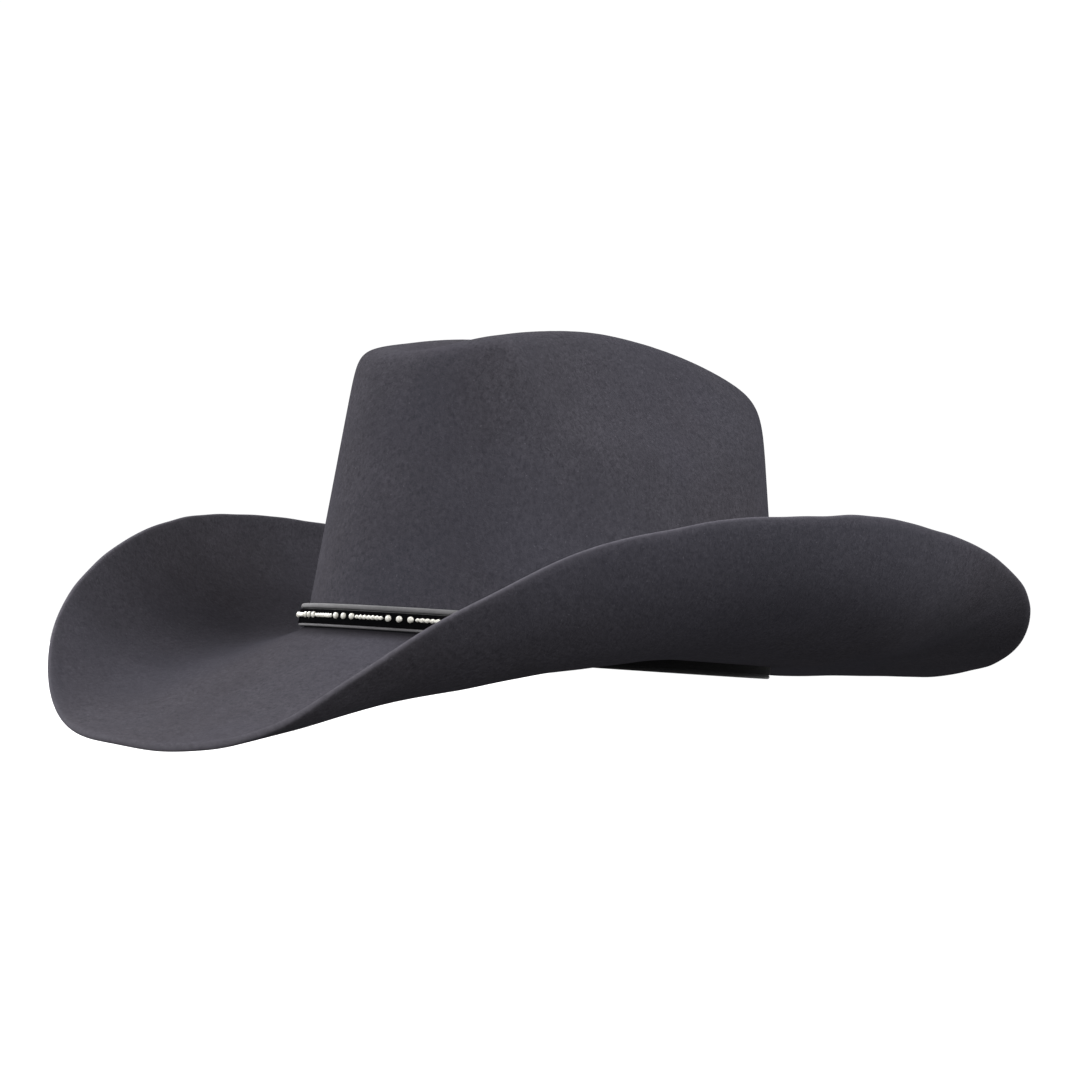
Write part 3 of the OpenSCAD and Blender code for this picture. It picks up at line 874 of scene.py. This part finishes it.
def strap_part(a, low, high):
    """Length of the strap's end between two heights, with rubbed-down edges and a crease line near each."""
    ring = []
    mid, half = (low + high) / 2, (high - low) / 2
    crease = min(0.55, half * 0.4)
    top = [(-1.0, -0.3), (-0.97, -0.06), (-0.9, 0)]
    line = (crease - half) / half
    inner = [(line - 0.05, 0), (line, -0.12), (line + 0.05, 0)]
    outline = top + inner + [(0, 0.03)] + [(-u, v) for u, v in inner[::-1]] + [(-u, v) for u, v in top[::-1]]
    outline += [(1.0, -0.8), (0.94, -1.0), (-0.94, -1.0), (-1.0, -0.8)]
    for u, v in outline:
        ring.append(wall_point(a, mid + half * u, FACE_D + END_T * (1 + v) + strap_lift(a)))
    rows = np.stack(ring, 1)
    n, k = rows.shape[:2]
    faces = grid_faces(n, k, False) + [list(range(k)), [(n - 1) * k + j for j in range(k)]]
    return rows.reshape(-1, 3) * MM, faces


def strap_end():
    """Loose end of the strap, slotted for the tongue, which rises a little as it swings."""
    low, high = STRAP_Z + 0.1, STRAP_Z + STRAP_H - 0.1
    first, slot, last = (BUCKLE_ANGLE - x / MM_PER_DEG for x in (END_START, SLOT_END, -END_PAST))
    half = SLOT_W / 2
    rails = np.linspace(first, slot + 0.2, 20)
    parts = [strap_part(rails, low, MID_Z - half), strap_part(rails, MID_Z + half + SLOT_TOP_ROOM, high)]
    return joined("strap_end_leather", parts + [strap_part(np.linspace(slot, last, 44), low, high)])


def strap_tip():
    """Domed metal cap with a bead along its open edge and a small rivet."""
    half = STRAP_H / 2 - 0.05
    turn = np.arcsin(half / 5.2)
    arc = [(-5 + 5.2 * math.cos(t), 5.2 * math.sin(t)) for t in np.linspace(-turn, turn, 15)]
    back = [(-6.5, z) for z in np.linspace(half, -half, 7)]
    sides = [(x, half) for x in np.linspace(arc[-1][0], -6.5, 6)[1:-1]]
    plan = np.array(arc + sides + back + [(x, -z) for x, z in sides[::-1]])
    middle = np.array([-3.2, 0.0])
    rows = [(1.0, 0.0), (1.0, 0.75), (0.97, 0.98), (0.9, 1.12), (0.6, 1.2), (0.2, 1.23)]
    verts = np.vstack([np.column_stack([(plan - middle)[:, 0] * k + middle[0], np.full(len(plan), y),
                                        (plan - middle)[:, 1] * k]) for k, y in rows])
    n = len(plan)
    faces = grid_faces(len(rows), n, False) + [list(range(n)), [(len(rows) - 1) * n + j for j in range(n)]]
    z = np.linspace(-half + 0.1, half - 0.1, 12)
    bead = bar(np.stack([z * 0 - 6.2, z * 0 + 1.1, z], -1), OUT, np.full(12, 0.28), np.full(12, 0.28), 2.0, 0.06)
    rivet, rivet_faces = lathe([(0, 1.1), (0.6, 1.1), (0.6, 1.3), (0.4, 1.45), (0, 1.5)], 20)
    rivet = rivet + np.array([-4.4, 0, 0])
    place = wall_frame(BUCKLE_ANGLE + (END_PAST + 0.1) / MM_PER_DEG, MID_Z, FACE_D + 0.15)
    return in_frame("strap_tip_cap", place, (verts, faces), bead, (rivet, rivet_faces))


def buckle_chape():
    """Leather tab sewn to the strap, with two ears round the pin."""
    width, ear = STRAP_H - 0.2, (STRAP_H - SLOT_W) / 2 - 0.2
    tab = bar(along_x(-7.4, -1.2, 0.56, 0, 18), OUT, np.full(18, width / 2), np.full(18, 0.4), 6.0, 0.05)
    parts = [tab]
    for z in (-(STRAP_H - ear) / 2 + 0.1, (SLOT_W + ear) / 2 + 0.1):
        parts.append(eye(PIN_R + 0.25, 0.2, ear / 2, PIN_D, z))
        neck = bar(along_x(-2.0, -0.1, 0.56, z, 8), OUT, np.full(8, ear / 2), np.full(8, 0.36), 4.0, 0.05)
        parts.append(neck)
    return in_frame("buckle_chape_leather", wall_frame(BUCKLE_ANGLE, MID_Z, FACE_D), *parts)


# ---------------------------------------------------------------- inside the crown


def sweatband():
    """Leather strip: thin upper edge, and a rolled lower edge round the reed."""
    z0 = SWEAT_Z
    section = [(SWEAT_D, z) for z in (SWEAT_TOP - 0.2, 30, 8, 2, z0)]
    mid = SWEAT_D - SWEAT_T / 2
    low = -SWEAT_DROP + REED_R
    roll = REED_R + 0.15
    for t in np.linspace(0, -180, 9):
        section.append((mid + roll * cos_d(t), low + roll * sin_d(t)))
    section += [(SWEAT_FACE, z) for z in (z0 + 0.6, 4, 16, 32, SWEAT_TOP - 0.4)]
    section.append((SWEAT_FACE + 0.4, SWEAT_TOP))
    return wall_sweep("sweatband_leather", section)


def lining_side():
    """Satin strip gathered into shallow pleats that fade out towards its lower edge."""
    a = angles(360)
    pleat, count, thick = 0.3, 60, 0.3

    def row(p, inset):
        fold = pleat * np.sin(np.radians(a) * count) * ease(LINING_LOW, LINING_LOW + 6, p)
        return crown_point(a, p, inset) - np.stack([sin_d(a) * fold, -cos_d(a) * fold, 0 * a], -1)

    steps = np.linspace(LINING_SPLIT, LINING_LOW, 14)
    rows = [row(p, SIDE_OUT) for p in steps] + [row(p, SIDE_OUT + thick) for p in steps[::-1]]
    return ring_piece("lining_side_satin", rows)


def lining_tip():
    """Satin panel under the crown's top, with its crease."""
    a = angles(240)
    steps = np.concatenate([np.linspace(88, 60, 10), np.linspace(57, 41, 14)])
    low = TIP_OUT + LINING_T
    rows = [crown_point(a, p, TIP_OUT) for p in steps] + [crown_point(a, p, low) for p in steps[::-1]]
    top = float(top_height(0.0, 0.0))
    return capped_piece("lining_tip_satin", rows, (0, 0, top - TIP_OUT), (0, 0, top - low))


def sweatband_reed():
    """Round plastic reed in the leather's rolled edge."""
    a = angles(480)
    mid = SWEAT_D - SWEAT_T / 2
    rows = []
    for t in np.linspace(0, -360, 12, endpoint=False):
        reach = mid + REED_R * sin_d(t)
        rows.append(np.stack([(CROWN_HALF_W + reach) * sin_d(a), -(CROWN_HALF_L + reach) * cos_d(a),
                              np.full(480, -SWEAT_DROP + REED_R * (1 + cos_d(t)))], -1))
    return ring_piece("sweatband_reed_core", rows)


def reed_tape():
    return wall_sweep("reed_tape_ring", rounded_section(TAPE_D - TAPE_T, TAPE_D, SWEAT_Z, 8, 0.15))


def sweatband_stitches(count=120):
    """Thread stitches in line, each one sunk into the leather at its ends."""
    x = np.linspace(-1.55, 1.55, 9)
    path = np.stack([x, 0.12 * (x / 1.55) ** 2, 0.06 * x], -1)
    verts, faces = bar(path, OUT, np.full(9, 0.22), np.full(9, 0.2), 2.0, 0.1)
    parts = []
    for i in range(count):
        place = wall_frame((i + 0.5) * 360 / count, SWEAT_Z + 2.2, SWEAT_FACE - 0.2)
        parts.append((placed(place, verts), faces))
    return joined("sweatband_thread", parts)


def wall_patch(name, a0, a1, z0, z1, d0, d1, cols=24, soft=0.3):
    """Thin panel that follows the wall between two angles and two heights, with softened edges."""
    a = np.linspace(a0, a1, cols)
    near = np.minimum(np.arange(cols), np.arange(cols)[::-1])
    inset = soft * (1 - np.sqrt(1 - (1 - np.clip(near / 2, 0, 1)) ** 2))
    mid = (d0 + d1) / 2
    rows = []
    for z in np.linspace(z1, z0, 20):
        rows.append(wall_point(a, np.clip(z, z0 + inset, z1 - inset), d1))
    for z in np.linspace(z0, z1, 20):
        rows.append(wall_point(a, np.clip(z, z0 + inset, z1 - inset), d0 if z0 < z < z1 else mid))
    rows = np.stack(rows, 1)
    n, k = rows.shape[:2]
    faces = grid_faces(n, k, False) + [list(range(k)), [(n - 1) * k + j for j in range(k)]]
    return joined(name, [(rows.reshape(-1, 3) * MM, faces)])


def sweatband_bow():
    """Flat ribbon bow: each loop is a ribbon folded back on itself, held by a knot."""
    parts = []
    for side in (-1, 1):
        turn = np.radians(np.linspace(90, -90, 9))
        out = [(x, 0.42 * math.sin(x / 8 * math.pi) + 0.28) for x in np.linspace(0.4, 7.4, 9)]
        fold = [(7.4 + 0.5 * math.cos(t), 0.5 * math.sin(t)) for t in turn]
        plan = np.array(out + fold[1:-1] + [(x, -y) for x, y in out[::-1]])
        path = np.stack([side * plan[:, 0], plan[:, 1] * 0.8, plan[:, 0] * 0.03 * side], -1)
        wide = 0.7 + 0.9 * ease(0.4, 5.5, plan[:, 0])
        parts.append(bar(path, UP, np.full(len(path), 0.09), wide, 6.0, 0.01))
    t = np.linspace(0, 2 * np.pi, 24, endpoint=False)
    ring = np.stack([t * 0, 0.85 * np.cos(t), 1.15 * np.sin(t)], -1)
    out = np.stack([t * 0, np.cos(t), np.sin(t)], -1)
    section = squircle(np.full(24, 1.1), np.full(24, 0.13), 14, 3.0)
    parts.append(swept(ring, np.tile((1.0, 0.0, 0.0), (24, 1)), out, section, closed=True))
    return in_frame("sweatband_ribbon_bow", wall_frame(180.0, SWEAT_Z + 5.5, SWEAT_FACE - 1.95), *parts)


def build_felt_and_lining():
    put(felt_body(), "hat", "felt", felt_material(), "felt_body")
    satin = satin_material()
    side = put(lining_side(), "hat", "lining_satin", satin, "lining_side")
    tip = put(lining_tip(), "hat", "lining_satin", satin, "lining_tip")


def build_sweatband():
    black = leather_material("sweatband_leather", (0.0025, 0.0025, 0.0027), gloss=0.5, grain=1100, shine=0.03)
    tape = woven_material("reed_tape_weave", (0.0022, 0.0022, 0.0024))
    seam = woven_material("seam_tape_weave", (0.008, 0.008, 0.009))
    ribbon = woven_material("bow_ribbon", (0.008, 0.008, 0.009), 2000)
    thread = woven_material("stitch_thread", (0.03, 0.03, 0.034), 3000)
    label = woven_material("label_weave", (0.12, 0.118, 0.11), 2500)
    put(sweatband(), "hat", "sweatband_leather", black, "sweatband")
    put(sweatband_reed(), "hat", "reed_plastic", plastic_material(), "sweatband_reed")
    put(reed_tape(), "hat", "woven_tape", tape, "reed_tape")
    put(sweatband_stitches(), "hat", "thread", thread, "sweatband_stitching")
    panel = wall_patch("sweatband_seam_tape_strip", 178, 182, SWEAT_Z + 4.5, SWEAT_TOP - 4,
                       SWEAT_FACE - 0.6, SWEAT_FACE - 0.2)
    put(panel, "hat", "woven_tape", seam, "sweatband_seam_tape")
    put(sweatband_bow(), "hat", "ribbon", ribbon, "sweatband_bow")
    panel = wall_patch("size_label_panel", 150, 160, 18, 28, SWEAT_FACE - 0.35, SWEAT_FACE - 0.08)
    put(panel, "hat", "label_paper", label, "size_label")


def build_band():
    grey = leather_material(
        "band_grey_leather", (0.027, 0.0265, 0.0275), gloss=0.85, grain=1400, wear=1.3, shine=0.02)
    black = leather_material("band_black_leather", (0.0006, 0.0006, 0.0007), gloss=0.7, grain=1300, shine=0.0)
    bead, metal = bead_material(), metal_material()
    put(band_base(), "hat_band", "band_grey_leather", grey, "band_base")
    section = rounded_section(STRAP_D, FACE_D, STRAP_Z, STRAP_Z + STRAP_H, 0.3)
    put(wall_sweep("band_black_strap", section), "hat_band", "band_black_leather", black, "band_strap")
    put(band_studs(), "hat_band", "bead_cream", bead, "band_studs")
    put(band_bars(), "hat_band", "bead_cream", bead, "band_bars")
    put(strap_end(), "hat_band", "band_black_leather", black, "strap_end")
    put(buckle_chape(), "hat_band", "band_black_leather", black, "buckle_chape")
    put(strap_tip(), "hat_band", "buckle_metal", metal, "strap_tip")
    put(buckle_frame(), "hat_band", "buckle_metal", metal, "buckle_frame")
    put(buckle_tongue(), "tongue", "buckle_metal", metal, "buckle_tongue")
    put(band_keeper(), "keeper", "buckle_metal", metal, "band_keeper")


# ---------------------------------------------------------------- camera, floor and light


def add_camera():
    """Eye level at the brim, three quarters from the front on the wearer's left."""
    around, above, roll = map(math.radians, (43.738, -3.491, 3.959))
    distance, aside, height, lens = 0.7778, -0.0059, 0.0436, 63.75
    back = Vector((math.sin(around) * math.cos(above), -math.cos(around) * math.cos(above), math.sin(above)))
    right = Vector((math.cos(around), math.sin(around), 0))
    up = back.cross(right)
    right, up = right * math.cos(roll) + up * math.sin(roll), up * math.cos(roll) - right * math.sin(roll)
    data = bpy.data.cameras.new("camera")
    data.lens = lens
    data.sensor_width = 36
    data.clip_start = 0.01
    camera = bpy.data.objects.new("camera", data)
    place = back * distance + Vector((math.cos(around), math.sin(around), 0)) * aside + Vector((0, 0, height))
    camera.matrix_world = Matrix.Translation(place) @ Matrix((right, up, back)).transposed().to_4x4()
    bpy.context.scene.collection.objects.link(camera)
    bpy.context.scene.camera = camera


def add_floor():
    drop, half = 0.3, 30.0
    z = cad_box[0][2] - drop
    mesh = bpy.data.meshes.new("floor")
    corners = [(-half, -half, z), (half, -half, z), (half, half, z), (-half, half, z)]
    mesh.from_pydata(corners, [], [(0, 1, 2, 3)])
    floor = bpy.data.objects.new("floor", mesh)
    bpy.context.scene.collection.objects.link(floor)
    mesh.materials.append(floor_material())


def add_soft_light(name, around, above, strength):
    """Broad light far off: around and above in degrees, around from the front towards the wearer's left."""
    data = bpy.data.lights.new(name, "SUN")
    data.angle = math.radians(50)
    data.energy = strength
    light = bpy.data.objects.new(name, data)
    way = Vector((sin_d(around) * cos_d(above), -cos_d(around) * cos_d(above), sin_d(above)))
    light.rotation_euler = way.to_track_quat("Z", "Y").to_euler()
    bpy.context.scene.collection.objects.link(light)


def add_lights():
    add_soft_light("front_low", -4, 8, 16.3)
    add_soft_light("left_high", 112, 36, 18.2)
    add_soft_light("right_high", 274, 34, 21.6)
    world = bpy.data.worlds.new("studio")
    bpy.context.scene.world = world
    world.use_nodes = True
    background = world.node_tree.nodes["Background"]
    background.inputs["Color"].default_value = (1, 1, 1, 1)
    background.inputs["Strength"].default_value = 1.03
    bpy.context.scene.view_settings.view_transform = "Standard"


add_camera()
add_floor()
add_lights()
build_felt_and_lining()
build_sweatband()
build_band()
